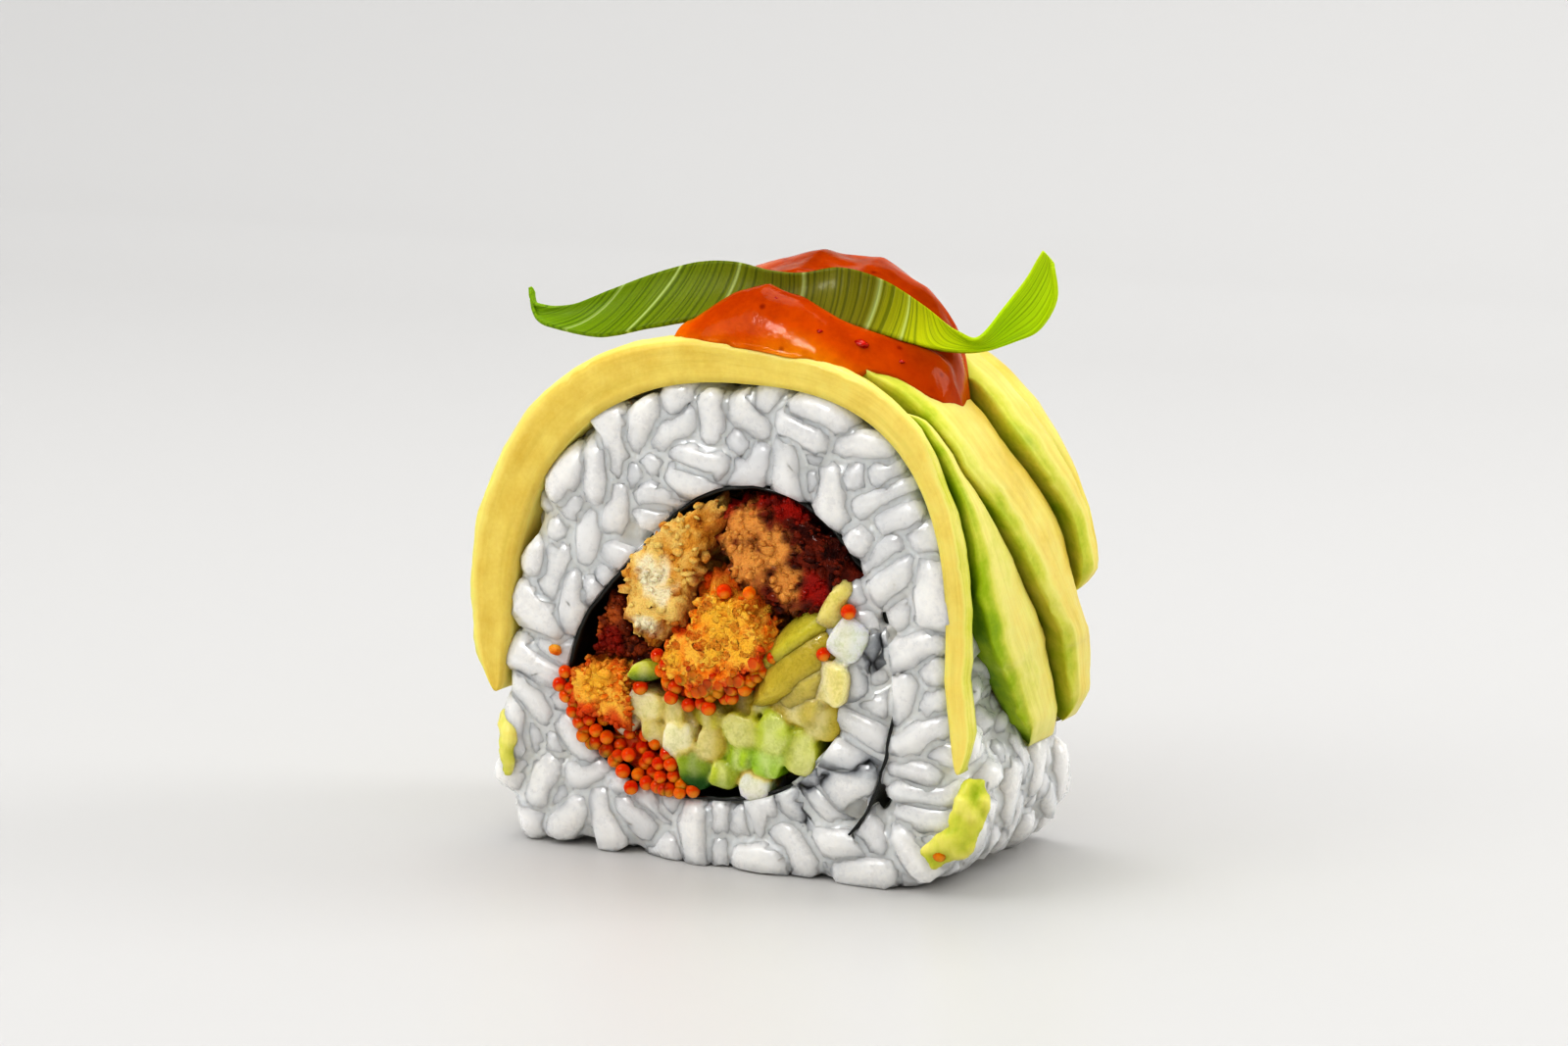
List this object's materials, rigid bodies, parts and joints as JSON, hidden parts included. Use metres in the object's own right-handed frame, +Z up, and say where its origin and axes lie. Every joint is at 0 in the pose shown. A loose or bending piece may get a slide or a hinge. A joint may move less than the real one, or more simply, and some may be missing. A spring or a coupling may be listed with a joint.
{
  "type": "uramaki roll",
  "caption": "Cut piece of an inside-out sushi roll with fried and vegetable filling, draped in avocado slices and topped with sauce and a leek ribbon.",
  "frame": {"origin": "middle of the flat rice foot, on the surface the piece stands on", "axes": "+Z up; the rolled axis runs along Y and the shown cut face looks along -Y; +X to the right of that face"},
  "size_m": [0.0544, 0.0267, 0.057],
  "materials": {
    "rice": "wet, slightly translucent",
    "nori": "dark, satin",
    "avocado": "smooth, moist",
    "batter": "rough, crumbly",
    "batter_brown": "rough, glazed",
    "cucumber": "wet, translucent",
    "roe": "glossy",
    "sauce": "glossy",
    "leek": "satin, fine parallel veins"
  },
  "bodies": {
    "root": {"rice": "rice", "nori": "nori", "batter_golden": "batter", "batter_pale": "batter", "batter_brown": "batter_brown", "batter_corner": "batter", "batter_dark": "batter_brown", "cucumber": "cucumber", "roe": "roe", "avocado_front": "avocado", "avocado_second": "avocado", "avocado_third": "avocado", "avocado_fourth": "avocado", "avocado_tip": "avocado", "avocado_smear": "avocado", "sauce": "sauce", "leek_leaf": "leek"}
  },
  "joints": []
}
